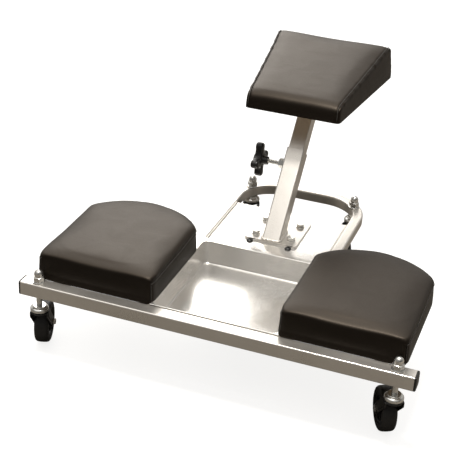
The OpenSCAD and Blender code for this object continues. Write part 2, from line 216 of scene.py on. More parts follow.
def thread(shape, radius, pitch, z0, z1, place=None, count=32):
    """A helical V thread with short plain ends."""
    depth = 0.55 * pitch
    rows = max(8, int((z1 - z0) / pitch * 6))
    rings = []
    for i in range(rows + 1):
        z = z0 + (z1 - z0) * i / rows
        fade = min(1.0, i / 5, (rows - i) / 5)
        ring = []
        for j in range(count):
            phase = (z / pitch - j / count) % 1.0
            r = radius - depth * abs(2 * phase - 1) * fade - 0.3 * MM * (1 - fade)
            a = 2 * math.pi * j / count
            ring.append(Vector((r * math.cos(a), r * math.sin(a), z)))
        rings.append(ring)
    return shape.rings(rings, place)


def frames_along(path, up, closed=False):
    """A point, side axis and up axis with mitre stretch for each point of a path."""
    count = len(path)
    for i, here in enumerate(path):
        before = path[i - 1] if closed or i else here
        after = path[(i + 1) % count] if closed or i < count - 1 else here
        a = (here - before).normalized() if before != here else (after - here).normalized()
        b = (after - here).normalized() if after != here else a
        along = (a + b).normalized()
        side = along.cross(up).normalized()
        stretch = 1 / max(0.5, along.dot(b))
        yield here, side * stretch, side.cross(along).normalized()


def sweep(shape, path, section, up=Vector((0, 0, 1)), closed=False):
    """Runs a flat section along a path; section may be a function of the point's number."""
    rings = []
    for i, (here, side, rise) in enumerate(frames_along(path, up, closed)):
        flat = section(i) if callable(section) else section
        rings.append([here + side * p.x + rise * p.y for p in flat])
    return shape.rings(rings, None, closed)


def tube(shape, path, outer, inner, up=Vector((0, 0, 1))):
    """An open-ended hollow tube: out along the outer section and back along the inner one."""
    placed = list(frames_along(path, up))
    rings = [[h + s * p.x + r * p.y for p in outer] for h, s, r in placed]
    rings += [[h + s * p.x + r * p.y for p in inner] for h, s, r in reversed(placed)]
    return shape.rings(rings, None, True)


def weld(name, path, radius, body, closed=True):
    """A weld bead: a thin round sweep whose size ripples along its length."""
    dense = []
    count = len(path)
    for i in range(count if closed else count - 1):
        a, b = path[i], path[(i + 1) % count]
        steps = max(1, int((b - a).length / (0.7 * MM)))
        dense += [a.lerp(b, t / steps) for t in range(steps)]
    shape = Shape()
    up = Vector((0.02, 0.03, 1)).normalized()
    sweep(shape, dense,
          lambda i: [p * (1 + 0.12 * math.sin(i * 1.55)) for p in circle(radius, 0, 10)], up, closed)
    return shape.build(name, body, "frame_steel", angle=60)


def turned(origin, axis):
    """Matrix that takes local Z to an axis at an origin."""
    return Matrix.Translation(origin) @ Vector(axis).to_track_quat("Z", "Y").to_matrix().to_4x4()


# ---------------------------------------------------------------- materials

class Nodes:
    """Short names for the shader nodes that every material here uses."""

    def __init__(self, name):
        self.material = bpy.data.materials.new(name)
        self.material.use_nodes = True
        self.tree = self.material.node_tree
        self.surface = self.tree.nodes["Principled BSDF"]
        self.place = self.add("ShaderNodeTexCoord").outputs["Object"]

    def add(self, kind, **inputs):
        node = self.tree.nodes.new(kind)
        for key, value in inputs.items():
            self.put(node.inputs[key.replace("_", " ")], value)
        return node

    def put(self, socket, value):
        if isinstance(value, bpy.types.NodeSocket):
            self.tree.links.new(value, socket)
        elif isinstance(value, (tuple, list)):
            socket.default_value = value if len(value) != 3 or socket.type == "VECTOR" else (*value, 1)
        else:
            socket.default_value = value

    def set(self, key, value):
        self.put(self.surface.inputs[key], value)

    def noise(self, scale, detail=3.0, distortion=0.0, place=None):
        node = self.add("ShaderNodeTexNoise", Vector=place or self.place, Scale=scale, Detail=detail,
                        Distortion=distortion)
        return node.outputs["Fac"]

    def cells(self, scale, feature="F1", output="Distance"):
        node = self.add("ShaderNodeTexVoronoi", Vector=self.place, Scale=scale)
        node.feature = feature
        return node.outputs[output]

    def ramp(self, value, low, high, out_low=0.0, out_high=1.0):
        node = self.tree.nodes.new("ShaderNodeMapRange")
        for key, item in (("Value", value), ("From Min", low), ("From Max", high),
                          ("To Min", out_low), ("To Max", out_high)):
            self.put(node.inputs[key], item)
        return node.outputs["Result"]

    def math(self, operation, a, b=0.0):
        node = self.tree.nodes.new("ShaderNodeMath")
        node.operation = operation
        self.put(node.inputs[0], a)
        self.put(node.inputs[1], b)
        return node.outputs[0]

    def mix(self, factor, a, b):
        node = self.tree.nodes.new("ShaderNodeMix")
        node.data_type = "RGBA"
        self.put(node.inputs["Factor"], factor)
        self.put(node.inputs["A"], a)
        self.put(node.inputs["B"], b)
        return node.outputs["Result"]

    def bump(self, height, distance, strength=1.0, normal=None):
        node = self.add("ShaderNodeBump", Height=height, Distance=distance, Strength=strength)
        if normal:
            self.put(node.inputs["Normal"], normal)
        return node.outputs["Normal"]

    def edges(self, radius):
        """1 on corners sharper than the radius, 0 on flats."""
        soft = self.add("ShaderNodeBevel", Radius=radius)
        soft.samples = 4
        hard = self.add("ShaderNodeNewGeometry").outputs["Normal"]
        dot = self.tree.nodes.new("ShaderNodeVectorMath")
        dot.operation = "DOT_PRODUCT"
        self.put(dot.inputs[0], soft.outputs["Normal"])
        self.put(dot.inputs[1], hard)
        return self.ramp(dot.outputs["Value"], 0.995, 0.9)


def metal(name, tone, dull, bright, rough, streak=0.0, wear=0.5, metallic=1.0):
    """Plated or brushed metal: cloudy tone, fine scratches, worn edges."""
    n = Nodes(name)
    cloud = n.noise(9, 4, 0.6)
    fine = n.noise(900, 2)
    stretch = n.add("ShaderNodeMapping", Vector=n.place, Scale=(6, 240, 900)).outputs["Vector"]
    brushed = n.noise(1.0, 3, 0, stretch)
    worn = n.math("MULTIPLY", n.edges(1.2 * MM), n.ramp(n.noise(60, 3), 0.4, 0.65, 0, wear))
    colour = n.mix(n.ramp(cloud, 0.3, 0.7), dull, tone)
    n.set("Base Color", n.mix(worn, colour, bright))
    n.set("Metallic", metallic)
    spread = n.ramp(n.math("ADD", n.math("MULTIPLY", cloud, 0.6), n.math("MULTIPLY", fine, 0.4)),
                    0.3, 0.7, rough * 0.75, rough * 1.3)
    n.set("Roughness", spread)
    height = n.math("ADD", n.math("MULTIPLY", fine, 0.35), n.math("MULTIPLY", brushed, streak))
    n.set("Normal", n.bump(height, 0.02 * MM))
    return n.material


def moulded(name, tone, light, rough, grain, depth):
    """Moulded plastic, rubber or powder coat: fine pebble and paler edges."""
    n = Nodes(name)
    cloud = n.noise(25, 4, 0.4)
    pebble = n.noise(grain, 3)
    worn = n.math("MULTIPLY", n.edges(0.8 * MM), n.ramp(n.noise(140, 3), 0.35, 0.7, 0, 0.6))
    colour = n.mix(n.ramp(cloud, 0.35, 0.75, 0, 0.5), tone, light)
    n.set("Base Color", n.mix(worn, colour, light))
    n.set("Roughness", n.ramp(cloud, 0.3, 0.7, rough * 0.85, rough * 1.15))
    n.set("Normal", n.bump(pebble, depth))
    return n.material


def vinyl(name):
    """Upholstery vinyl: pebbled grain in two sizes, faint pull lines, satin coat, and painted shade darkening the
    faces that do not face up.
    """
    n = Nodes(name)
    pebble = n.ramp(n.cells(950, "SMOOTH_F1"), 0.0, 0.9)
    pores = n.noise(2600, 2)
    pull = n.noise(22, 3, 1.2)
    tone = n.mix(n.ramp(n.noise(14, 4), 0.35, 0.7), (0.0075, 0.0052, 0.0036), (0.0105, 0.0075, 0.0052))
    # Painted shade: faces that turn away from up get a darker base colour, so the sides and fronts look shaded;
    # the same mask also lowers the specular level there.
    facing = n.add("ShaderNodeSeparateXYZ", Vector=n.add("ShaderNodeNewGeometry").outputs["Normal"])
    painted_shade_by_facing = n.ramp(facing.outputs["Z"], 0.35, 0.95)
    tone = n.mix(painted_shade_by_facing, (0.0040, 0.0027, 0.0018), tone)
    n.set("Base Color", n.mix(n.ramp(pebble, 0.55, 1.0, 0, 0.4), tone, (0.0035, 0.0025, 0.0017)))
    n.set("Roughness", n.ramp(n.math("ADD", n.math("MULTIPLY", pull, 0.5), n.math("MULTIPLY", pebble, 0.5)),
                              0.2, 0.8, 0.42, 0.52))
    n.set("Specular IOR Level", n.ramp(painted_shade_by_facing, 0, 1, 0.28, 0.45))
    n.set("Specular Tint", (1.0, 0.84, 0.68, 1.0))
    height = n.math("ADD", n.math("MULTIPLY", pebble, -1.0), n.math("MULTIPLY", pores, 0.3))
    grain = n.bump(height, 0.06 * MM, 0.45)
    n.set("Normal", n.bump(pull, 0.8 * MM, 0.5, grain))
    return n.material


def plywood(name):
    """Raw birch ply: long figure on the faces and thin plies on the edges."""
    n = Nodes(name)
    long_grain = n.add("ShaderNodeMapping", Vector=n.place, Scale=(60, 4, 60)).outputs["Vector"]
    figure = n.noise(3.0, 5, 1.5, long_grain)
    plies = n.add("ShaderNodeTexWave", Vector=n.place, Scale=110.0, Distortion=0.3)
    plies.bands_direction = "Z"
    face = n.mix(figure, (0.30, 0.225, 0.15), (0.46, 0.365, 0.26))
    n.set("Base Color", n.mix(n.math("MULTIPLY", plies.outputs["Fac"], 0.25), face, (0.20, 0.14, 0.08)))
    n.set("Roughness", n.ramp(figure, 0.3, 0.7, 0.6, 0.8))
    n.set("Normal", n.bump(figure, 0.15 * MM))
    return n.material


def cord(name):
    """Twisted thread of the seams."""
    n = Nodes(name)
    twist = n.add("ShaderNodeTexWave", Vector=n.place, Scale=420.0, Distortion=1.0)
    twist.bands_direction = "DIAGONAL"
    n.set("Base Color", n.mix(twist.outputs["Fac"], (0.010, 0.008, 0.006), (0.045, 0.037, 0.030)))
    n.set("Roughness", n.ramp(n.noise(400, 2), 0.3, 0.7, 0.5, 0.7))
    n.set("Normal", n.bump(twist.outputs["Fac"], 0.15 * MM))
    return n.material


MATERIALS = {
    "frame_steel": metal("frame_steel", (0.78, 0.745, 0.695), (0.72, 0.685, 0.635), (0.92, 0.9, 0.86), 0.33,
                         0.2, 0.5, 0.88),
    "tray_steel": metal("tray_steel", (0.82, 0.80, 0.77), (0.79, 0.77, 0.735), (0.90, 0.88, 0.84), 0.24,
                        0.12, 0.5, 0.84),
    "zinc": metal("zinc", (0.82, 0.81, 0.78), (0.66, 0.65, 0.62), (0.95, 0.95, 0.93), 0.20, 0.2, 0.8, 0.95),
    "black_plastic": moulded("black_plastic", (0.006, 0.0055, 0.005), (0.016, 0.0145, 0.013), 0.36, 1400,
                             0.05 * MM),
    "black_steel": moulded("black_steel", (0.006, 0.0055, 0.005), (0.018, 0.0165, 0.015), 0.32, 700,
                           0.05 * MM),
    "vinyl": vinyl("vinyl"),
    "plywood": plywood("plywood"),
    "rubber": moulded("rubber", (0.007, 0.0065, 0.006), (0.020, 0.018, 0.016), 0.50, 500, 0.12 * MM),
}
THREAD = cord("seam_thread")


# ---------------------------------------------------------------- steel frame

def front_tube():
    mid = Vector((0, (tube_lo.y + tube_hi.y) / 2, TOP - TUBE / 2))
    ends = [mid + Vector((x, 0, 0)) for x in np.linspace(tube_lo.x, tube_hi.x, 9)]
    shape = Shape()
    tube(shape, ends, square_section(TUBE, 2.6 * MM), square_section(TUBE - 3.2 * MM, 1.2 * MM))
    shape.build("front_tube_shell", "frame", "frame_steel", ["front_tube"])


def end_caps():
    """Square plastic plugs: a pillowed face, a flange and three gripping ribs inside the tube."""
    mid = Vector((0, (tube_lo.y + tube_hi.y) / 2, TOP - TUBE / 2))
    for name, sign in (("end_cap_left", -1), ("end_cap_right", 1)):
        lo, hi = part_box(name)
        thick = (hi.x - tube_hi.x) if sign > 0 else (tube_lo.x - lo.x)
        place = turned(mid + Vector((sign * tube_hi.x, 0, 0)), (sign, 0, 0))
        outline = square_section(TUBE, 2.6 * MM, 6)
        rings = []
        for shrink, z in ((0.6, 0), (0, 0.6), (0, thick * 0.55), (0.5, thick * 0.72), (1.6, thick * 0.88),
                          (4.0, thick * 0.97), (8.0, thick)):
            z = z * MM if z == 0.6 else z
            rings.append([p * (1 - 2 * shrink * MM / TUBE) + Vector((0, 0, z)) for p in outline])
        shape = Shape().rings(rings, place)
        plug = square_section(TUBE - 4.2 * MM, 1.5 * MM, 6)
        slab(shape, plug, -11 * MM, 0.5 * MM, 0.8 * MM, place)
        for z in (-2.5, -5.5, -8.5):
            rib = square_section(TUBE - 3.5 * MM, 1.6 * MM, 6)
            slab(shape, rib, (z - 0.5) * MM, (z + 0.5) * MM, 0.3 * MM, place, 2)
        shape.build(name + "_plug", "frame", "black_plastic", [name])


def loop_path():
    """Centreline of the bent tube, from the left leg's front end round to the right leg's."""
    z = TOP - LOOP / 2
    left = [Vector((-LOOP_X, y, z)) for y in np.linspace(tube_hi.y, LOOP_Y - LOOP_BEND, 12)]
    centre = Vector((-LOOP_X + LOOP_BEND, LOOP_Y - LOOP_BEND, z))
    turn = [centre + LOOP_BEND * Vector((-math.cos(a), math.sin(a), 0))
            for a in np.linspace(0, math.pi / 2, 25)[1:]]
    half = left + turn
    return half + [Vector((-p.x, p.y, p.z)) for p in reversed(half)]


def rear_loop():
    shape = Shape()
    tube(shape, loop_path(), square_section(LOOP, 3.2 * MM), square_section(LOOP - 3.2 * MM, 1.6 * MM))
    shape.build("rear_loop_tube", "frame", "frame_steel", ["rear_loop"])
    plate_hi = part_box("rear_plate")[1]
    for name, sign in (("left", -1), ("right", 1)):
        seat = [Vector((sign * (plate_hi.x - 0.6 * MM), y, plate_hi.z + 0.5 * MM))
                for y in (tray_hi.y + 2 * MM, plate_hi.y - 2 * MM)]
        weld("plate_weld_" + name, seat, 2.2 * MM, "frame", closed=False)
        half = LOOP / 2 - 1.5 * MM
        centre = Vector((sign * LOOP_X, tube_hi.y, TOP - LOOP / 2))
        path = [centre + Vector((x * half, 0, z * half)) for x, z in ((-1, 1), (-1, -1), (1, -1), (1, 1))]
        weld("loop_weld_" + name, path, 1.9 * MM, "frame", closed=False)


def tool_tray():
    """Pressed tray: flange, rolled rim, drafted walls, a wide bottom bend and a flat floor."""
    deep = tray_lo.z + SHEET
    x_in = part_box("tool_tray")[1].x
    open_x = LOOP_X - LOOP / 2 - 2.5 * MM
    y0 = tray_lo.y + SHEET
    y1 = tray_hi.y - 11 * MM
    rim = TOP + SHEET
    rows = [(x_in - 0.2 * MM, tray_lo.y, tray_hi.y - 0.2 * MM, 1.2 * MM, TOP + 0.2 * MM),
            (x_in - 0.2 * MM, tray_lo.y, tray_hi.y - 0.2 * MM, 1.4 * MM, rim - 0.5 * MM),
            (x_in - 0.8 * MM, tray_lo.y + 0.5 * MM, tray_hi.y - 0.7 * MM, 1.4 * MM, rim)]
    bend = 1.8 * MM
    foot = 4.0 * MM
    draft = 1.6 * MM
    for i in range(6):
        a = math.radians(90 * i / 5)
        grow = bend * (1 - math.sin(a))
        rows.append((open_x + grow, y0 - min(grow, y0 - tray_lo.y - 0.9 * MM), y1 + grow,
                     12 * MM + grow, rim - bend * (1 - math.cos(a))))
    for i in range(7):
        a = math.radians(90 * i / 6)
        shrink = draft + foot * (1 - math.cos(a))
        rows.append((open_x - shrink, y0 + shrink, y1 - shrink, max(12 * MM - shrink * 0.6, 2 * MM),
                     deep + foot * (1 - math.sin(a))))
    upper = [rounded_rect(-x, a, x, b, r, z, 8) for x, a, b, r, z in rows]
    lower = []
    for x, a, b, r, z in rows[2:]:
        lower.append((x, a, b, r, z))
    under = []
    thick = SHEET * 0.9
    for i, (x, a, b, r, z) in enumerate(lower):
        share = 0 if i == 0 else min(1.0, max(0.0, (rim - bend * 0.3 - z) / (bend * 0.7)))
        flat = min(1.0, max(0.0, (deep + foot - z) / foot))
        out = thick * share * (1 - flat ** 2)
        down = thick * max(1 - share, flat)
        under.append(rounded_rect(-x - out, a - min(out, 0.3 * MM), x + out, b + out, r + out, z - down, 8))
    shape = Shape()
    top_rings = upper
    shape.rings(list(reversed(under)) + [upper[0]] + top_rings[1:], None, False)
    shape.build("tool_tray_pressing", "frame", "tray_steel", ["tool_tray"], 30)


def cad_finish(node, slot, edge):
    """Keeps a CAD node, with its edges eased by modifiers and its surface by a material."""
    obj = frame["nodes"][node]
    obj.data.materials.clear()
    obj.data.materials.append(MATERIALS[slot])
    if "custom_normal" in obj.data.attributes:
        obj.data.attributes.remove(obj.data.attributes["custom_normal"])
    obj.data.shade_smooth()
    join = obj.modifiers.new("join", "WELD")
    join.merge_threshold = 0.01 * MM
    bevel = obj.modifiers.new("edge", "BEVEL")
    bevel.width = edge
    bevel.segments = 3
    bevel.limit_method = "ANGLE"
    bevel.angle_limit = math.radians(40)
    weighted = obj.modifiers.new("normals", "WEIGHTED_NORMAL")
    weighted.weight = 100


# ---------------------------------------------------------------- post and clamp

def post_point(along):
    """Point on the post's axis at a distance from the clamp screw's axis."""
    return CLAMP + UP_POST * along


def post_ring(section, height=None, along=None):
    """A section of the post cut level at a height, or square across at a distance."""
    across = Vector((1, 0, 0))
    front = UP_POST.cross(across).normalized()
    ring = []
    for p in section:
        start = CLAMP + across * p.x + front * p.y
        reach = along if height is None else (height - start.z) / UP_POST.z
        ring.append(start + UP_POST * reach)
    return ring


def post_sleeve():
    lo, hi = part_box("post_sleeve")
    depth = SLEEVE / 2 * UP_POST.y
    top_along = (hi.z - depth - CLAMP.z) / UP_POST.z
    outer = square_section(SLEEVE, 3.0 * MM)
    inner = square_section(INNER + 0.35 * MM, 1.4 * MM)
    lip = square_section(SLEEVE - 1.0 * MM, 2.6 * MM)
    rings = [post_ring(outer, height=BASE_Z)]
    rings += [post_ring(outer, along=a) for a in np.linspace(-60 * MM, top_along - 0.5 * MM, 5)]
    rings += [post_ring(lip, along=top_along)]
    rings += [post_ring(inner, along=top_along), post_ring(inner, along=-60 * MM), post_ring(inner, height=BASE_Z)]
    Shape().rings(rings, None, True).build("post_sleeve_tube", "frame", "frame_steel", ["post_sleeve"])
    foot = post_ring(square_section(SLEEVE + 1.6 * MM, 3.6 * MM), height=BASE_Z + 1.0 * MM)
    weld("sleeve_foot_weld", foot, 2.1 * MM, "frame")


def inner_post():
    low = (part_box("inner_post")[0].z + INNER / 2 * UP_POST.y - CLAMP.z) / UP_POST.z
    outer = square_section(INNER - 0.2 * MM, 2.2 * MM)
    inner = square_section(INNER - 4.0 * MM, 1.0 * MM)
    lip = square_section(INNER - 1.2 * MM, 1.8 * MM)
    rings = [post_ring(lip, along=low)]
    rings += [post_ring(outer, along=a) for a in np.linspace(low + 0.5 * MM, low + 80 * MM, 4)]
    rings += [post_ring(outer, height=PLATE_Z), post_ring(inner, height=PLATE_Z), post_ring(inner, along=low)]
    Shape().rings(rings, None, True).build("inner_post_tube", "rest", "frame_steel", ["inner_post"])
    head = post_ring(square_section(INNER + 1.2 * MM, 2.8 * MM), height=PLATE_Z - 0.8 * MM)
    weld("inner_post_weld", head, 1.8 * MM, "rest")


def clamp_nut():
    side = Vector((-SLEEVE / 2, CLAMP.y, CLAMP.z))
    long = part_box("clamp_nut")[1].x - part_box("clamp_nut")[0].x
    place = turned(side, (-1, 0, 0))
    shape = Shape()
    hexagon(shape, 17 * MM, 0, long, place)
    shape.build("clamp_weld_nut", "frame", "zinc", ["clamp_nut"], 25)
    ring = [place @ p for p in circle(9.4 * MM, 0.6 * MM, 36)]
    weld("clamp_nut_weld", ring, 1.5 * MM, "frame")


def clamp_screw():
    lo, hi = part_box("clamp_screw")
    long = hi.x - lo.x
    shape = Shape()
    thread(shape, 4.0 * MM, 1.25 * MM, 0, long, turned(Vector((hi.x, CLAMP.y, CLAMP.z)), (-1, 0, 0)))
    shape.build("clamp_screw_thread", "clamp_handle", "zinc", ["clamp_screw"], 50)


def lobed(radius, reach, lobe, count=192):
    """Outline of a cross knob: four round lobes blended into a hub."""
    def gap(x, y):
        a, b = max(abs(x), abs(y)), min(abs(x), abs(y))
        ball = math.hypot(a - reach, b) - lobe
        bar = max(abs(b) - lobe * 0.86, a - reach)
        hub = math.hypot(x, y) - radius
        near = min(ball, bar)
        k = 9 * MM
        h = max(0.0, min(1.0, 0.5 + (hub - near) / (2 * k)))
        return hub * (1 - h) + near * h - k * h * (1 - h)
    outline = []
    for i in range(count):
        angle = 2 * math.pi * i / count
        low, high = 0.0, reach + 2 * lobe
        for _ in range(40):
            r = (low + high) / 2
            if gap(r * math.cos(angle), r * math.sin(angle)) < 0:
                low = r
            else:
                high = r
        outline.append(Vector((low * math.cos(angle), low * math.sin(angle), 0)))
    return outline


def clamp_knob():
    lo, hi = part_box("clamp_knob")
    place = Matrix.Translation(Vector((hi.x, CLAMP.y, CLAMP.z))) @ Matrix.Rotation(-math.pi / 2, 4, "Y")
    reach = (hi.z - lo.z) / 2 - 8 * MM
    outline = lobed(13 * MM, reach, 8 * MM)
    shape = Shape()
    z0, z1, edge = 10 * MM, 25 * MM, 4.5 * MM
    rings = []
    for i in range(7):
        a = math.radians(90 * i / 6)
        rings.append([p + Vector((0, 0, z0 + edge * (1 - math.cos(a))))
                      for p in inset(outline, edge * (1 - math.sin(a)) * 0.8)])
    for i in range(6, -1, -1):
        a = math.radians(90 * i / 6)
        rings.append([p + Vector((0, 0, z1 - edge * (1 - math.cos(a))))
                      for p in inset(outline, edge * (1 - math.sin(a)) * 0.8)])
    shape.rings(rings, place)
    boss = soften([(6.4, 0), (7.6, 0), (8.2, 4), (9.4, 11), (9.4, 13)], 1.2)
    lathe(shape, [(r * MM, z * MM) for r, z in boss], place)
    crown = soften([(11.0, 24), (9.6, 27.2), (6.5, 28), (0.0, 28)], 1.5)
    lathe(shape, [(r * MM, z * MM) for r, z in crown], place)
    shape.build("clamp_knob_grip", "clamp_handle", "black_plastic", ["clamp_knob"], 50)


def base_bolts():
    """Hex bolts with washers through the base plate, and their nuts below."""
    lo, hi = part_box("post_base_bolts")
    shape = Shape()
    for x in (lo.x + 8 * MM, hi.x - 8 * MM):
        for y in (lo.y + 8 * MM, hi.y - 8 * MM):
            place = Matrix.Translation((x, y, BASE_Z)) @ Matrix.Rotation((x * 40 + y * 23), 4, "Z")
            washer = soften([(4.4, 0), (8, 0), (8, 1.5), (4.4, 1.5)], 0.4, 2)
            lathe(shape, [(r * MM, z * MM) for r, z in washer], place, 40, True)
            hexagon(shape, 13 * MM, 1.5 * MM, 7 * MM, place)
            thread(shape, 4 * MM, 1.25 * MM, -17 * MM, 1 * MM, place)
            hexagon(shape, 13 * MM, -12.5 * MM, -5.6 * MM, place, bottom=True)
    shape.build("post_base_bolt_set", "frame", "zinc", ["post_base_bolts"], 28)


def plate_screws():
    """Button-head screws with a hex socket."""
    lo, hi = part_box("plate_screws")
    shape = Shape()
    for x in (lo.x + 6.3 * MM, hi.x - 6.3 * MM):
        place = Matrix.Translation((x, (lo.y + hi.y) / 2, hi.z - 4 * MM))
        socket = [(2.2 * MM, 1.2 * MM), (2.2 * MM, 3.95 * MM)]
        dome = [(math.sin(a) * 6.3 * MM, (math.cos(a) * 4.0) * MM)
                for a in np.linspace(math.radians(24), math.radians(90), 9)]
        rings = [circle(r, z, 36) for r, z in socket] + [circle(r, z, 36) for r, z in dome]
        rings += [circle(2.9 * MM, 0, 36), circle(2.9 * MM, -10 * MM, 36)]
        shape.rings(rings, place)
    shape.build("plate_screw_set", "frame", "black_steel", ["plate_screws"], 30)


# ---------------------------------------------------------------- casters

def cap_nut(corner):
    """Domed cap nut on a washer."""
    lo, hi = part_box("nut_" + corner)
    place = Matrix.Translation(((lo.x + hi.x) / 2, (lo.y + hi.y) / 2, lo.z))
    shape = Shape()
    washer = soften([(5.2, 0), (11, 0), (11, 2.4), (5.2, 2.4)], 0.7, 3)
    lathe(shape, [(r * MM, z * MM) for r, z in washer], place, 56, True)
    hexagon(shape, 17 * MM, 2.4 * MM, 11.6 * MM, place)
    dome = [(7.4, 11.0), (7.6, 11.9), (7.6, 16.4)]
    dome += [(7.6 * math.cos(a), 16.4 + 7.6 * math.sin(a)) for a in np.linspace(0.1, 1.53, 12)]
    lathe(shape, [(r * MM, z * MM) for r, z in dome], place)
    shape.build("cap_nut_" + corner, "frame", "zinc", ["nut_" + corner], 26)


def stem(corner):
    """Threaded stem, its collar, and the pressed upper race with the king pin's rivet."""
    lo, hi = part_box("stem_" + corner)
    rim = race_rim(corner)
    place = Matrix.Translation(((lo.x + hi.x) / 2, (lo.y + hi.y) / 2, TOP))
    low = Matrix.Translation(((lo.x + hi.x) / 2, (lo.y + hi.y) / 2, TOP + rim))
    shape = Shape()
    shank = soften([(5, rim / MM + 7), (5, -24), (4.2, -22.5), (4.2, -21)], 0.5, 3)
    lathe(shape, [(r * MM, z * MM) for r, z in shank], place)
    thread(shape, 5 * MM, 1.5 * MM, -22 * MM, 2 * MM, place)
    collar = soften([(5.2, 9.3), (11.2, 9.3), (12, 8.4), (12, 7.2), (9, 6.6), (5.2, 6.6)], 0.6, 3)
    lathe(shape, [(r * MM, z * MM) for r, z in collar], low, 64, True)
    race = soften([(4, 7.0), (11.8, 7.0), (14.2, 6.0), (16, 4.0), (16, 0), (14.9, 0), (14.4, 1.4),
                   (11.6, 3.0), (4, 3.0)], 1.0, 4)
    lathe(shape, [(r * MM, z * MM) for r, z in race], low, 64, True)
    pin = soften([(0, 3), (4.6, 3), (4.6, -5.6), (7.5, -5.8), (6.6, -7.8), (0, -7.8)], 0.8)
    lathe(shape, [(r * MM, z * MM) for r, z in pin], low)
    shape.build("caster_stem_" + corner, "frame", "zinc", ["stem_" + corner], 32)


def extent(node, place):
    """Least and greatest corner of a CAD node in another frame."""
    obj = frame["nodes"][node]
    turn = place.inverted() @ obj.matrix_world
    points = np.array([turn @ v.co for v in obj.data.vertices])
    return points.min(0), points.max(0)


def tyre_half(corner):
    return extent("tyre_" + corner, caster_place(corner))[1][0]


def race_rim(corner):
    """Height of the race's rim below the tubes' top; the rivet hangs 7.8 mm under it."""
    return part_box("stem_" + corner)[0].z - TOP + 7.8 * MM


def caster_place(corner):
    """Frame of a caster: origin at its axle, X along the axle, Y in the trailing direction."""
    joint = JOINTS["wheel_spin_" + corner]
    axis = Vector(joint["axis"]).normalized()
    back = Vector((-axis.y, axis.x, 0))
    turn = Matrix((axis, back, Vector((0, 0, 1)))).transposed().to_4x4()
    return Matrix.Translation(Vector(joint["pos_m"])) @ turn


def fork(corner):
    """Pressed fork: a domed crown and two ribbed legs with rounded axle bosses."""
    place = caster_place(corner)
    swivel = Vector(JOINTS["swivel_turn_" + corner]["pos_m"])
    local = place.inverted() @ Vector((swivel.x, swivel.y, TOP))
    rim = local.z + race_rim(corner)
    crown_at = place @ Matrix.Translation((local.x, local.y, rim))
    shape = Shape()
    crown = soften([(4.8, -2.6), (13.6, -1.5), (15.8, -2.3), (15.8, -4.4), (14.6, -5.4), (4.8, -5.4)], 0.9, 3)
    lathe(shape, [(r * MM, z * MM) for r, z in crown], crown_at, 64, True)
    trail = -local.y
    top = rim - 2.1 * MM
    outline = [(-trail - 10 * MM, top), (-trail - 10 * MM, top - 9 * MM), (-9.3 * MM, -3 * MM)]
    outline += [(9.5 * MM * math.cos(a), 9.5 * MM * math.sin(a))
                for a in np.radians(np.linspace(200, 380, 17))]
    outline += [(-trail + 10 * MM, top)]
    flat = round_outline(outline, 3 * MM)
    rib = round_outline([(-trail - 5 * MM, top - 3 * MM), (-trail - 5 * MM, top - 9 * MM),
                         (-3.2 * MM, -2 * MM), (2.8 * MM, 2 * MM), (-trail + 6 * MM, top - 3 * MM)], 2.5 * MM)
    reach = tyre_half(corner) + 2 * MM
    for sign in (-1, 1):
        x = sign * reach
        side = place @ Matrix(((0, 0, 1, x), (1, 0, 0, 0), (0, 1, 0, 0), (0, 0, 0, 1)))
        slab(shape, flat, -1.0 * MM, 1.0 * MM, 0.5 * MM, side)
        slab(shape, rib, (0.8 if sign > 0 else -1.9) * MM, (1.9 if sign > 0 else -0.8) * MM, 0.5 * MM, side)
        boss = [(3.4, 0.7), (8.2, 0.7), (8.2, 1.4), (7.6, 1.9), (3.4, 1.9)]
        face = place @ Matrix.Translation((x, 0, 0)) @ Matrix.Rotation(sign * math.pi / 2, 4, "Y")
        lathe(shape, [(r * MM, z * MM) for r, z in boss], face, 40, True)
    wide = reach + 1 * MM
    corners = rounded_rect(-wide, -trail - 10.5 * MM, wide, -trail + 10.5 * MM, 5 * MM, 0, 5)
    slab(shape, corners, rim - 5.3 * MM, rim - 2.8 * MM, 0.7 * MM, place)
    shape.build("caster_fork_" + corner, "swivel_" + corner, "black_steel", ["fork_" + corner], 32)


def round_outline(points, radius, steps=4):
    """Rounds every corner of a closed flat outline and returns it anticlockwise."""
    points = [Vector((x, y, 0)) for x, y in points]
    area = sum(a.x * b.y - b.x * a.y for a, b in zip(points, points[1:] + points[:1]))
    if area < 0:
        points.reverse()
    out = []
    for i, here in enumerate(points):
        before, after = points[i - 1], points[(i + 1) % len(points)]
        reach = min(radius, (before - here).length / 2.2, (after - here).length / 2.2)
        a = here + (before - here).normalized() * reach
        b = here + (after - here).normalized() * reach
        for j in range(steps + 1):
            t = j / steps
            out.append(a * (1 - t) ** 2 + here * 2 * t * (1 - t) + b * t ** 2)
    return out


def axle(corner):
    """Axle bolt with a hex head on the inner side and a lock nut on the other."""
    place = caster_place(corner) @ Matrix.Rotation(math.pi / 2, 4, "Y")
    shape = Shape()
    reach = tyre_half(corner) + 3.05 * MM
    lathe(shape, [(3 * MM, -reach - 1 * MM), (3 * MM, reach + 1 * MM)], place, 24)
    for sign, tall in ((-1, 3.5 * MM), (1, 4.5 * MM)):
        side = place if sign > 0 else place @ Matrix.Rotation(math.pi, 4, "X")
        hexagon(shape, 10 * MM, reach, reach + tall, side)
    shape.build("axle_bolt_" + corner, "swivel_" + corner, "zinc", ["axle_" + corner], 26)


